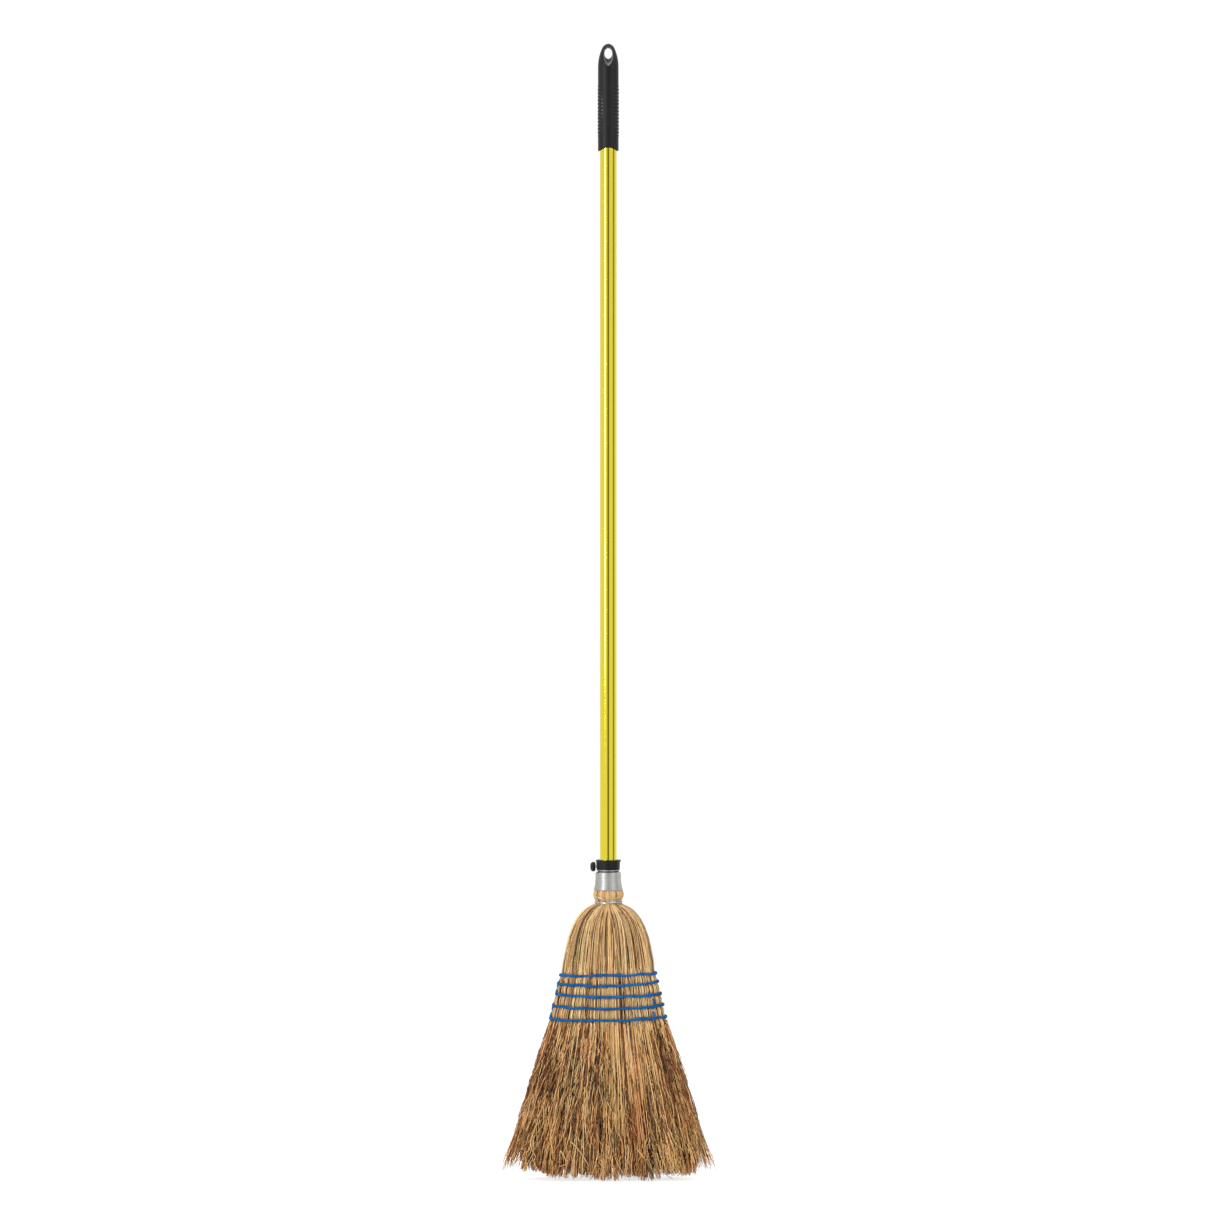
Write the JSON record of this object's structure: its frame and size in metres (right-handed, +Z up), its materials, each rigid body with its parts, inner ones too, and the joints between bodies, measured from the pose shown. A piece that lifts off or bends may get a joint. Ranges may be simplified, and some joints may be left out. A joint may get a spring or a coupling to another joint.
{
  "type": "straw broom",
  "caption": "Sewn straw broom: flat flared fan of broom straw under a metal ferrule, with a metal pole clamped in a plastic collar by a thumb screw.",
  "frame": {"origin": "on the floor, in the middle of the bristles' outline, under the pole's axis", "axes": "+Z up along the pole, +X across the wide side of the fan, the thumb screw points to -X, the front faces -Y"},
  "size_m": [0.2644, 0.0559, 1.4503],
  "materials": {
    "pole_metal": "yellow anodised, polished",
    "grip_plastic": "moulded, fine satin",
    "collar_plastic": "moulded, satin",
    "brass": "turned",
    "zinc_steel": "zinc plated",
    "ferrule_steel": "spun bright sheet",
    "wire_steel": "galvanised wire",
    "straw": "dry broom straw",
    "bristle_straw": "dry broom straw, fine ends",
    "blue_twine": "twisted twine"
  },
  "bodies": {
    "head": {"clamp_collar": "collar_plastic", "threaded_insert": "brass", "ferrule": "ferrule_steel", "neck_wire": "wire_steel", "binding_wire": "wire_steel", "straw_core": "straw", "shoulder_left": "straw", "shoulder_right": "straw", "hurl_cover": "straw", "stitching_twine": "blue_twine", "bristles_far_left": "bristle_straw", "bristles_left": "bristle_straw", "bristles_middle": "bristle_straw", "bristles_right": "bristle_straw", "bristles_far_right": "bristle_straw"},
    "handle": {"handle_tube": "pole_metal", "grip": "grip_plastic"},
    "washer": {"thumb_screw_washer": "zinc_steel"},
    "thumb_screw": {"thumb_screw_knob": "collar_plastic", "thumb_screw_shank": "zinc_steel"}
  },
  "joints": [
    {"name": "handle_pullout", "type": "slide", "parent": "head", "child": "handle", "axis": [0, 0, 1], "range_m": [0, 0.085]},
    {"name": "screw_advance", "type": "slide", "parent": "head", "child": "washer", "axis": [-1, 0, 0], "range_m": [0, 0.0024]},
    {"name": "knob_turn", "type": "hinge", "parent": "washer", "child": "thumb_screw", "pos_m": [0, 0, 0.3991], "axis": [-1, 0, 0], "range_deg": [0, 1080]}
  ],
  "couplings": [
    {"joint": "knob_turn", "follows": "screw_advance", "rad_per_m": 7854}
  ]
}
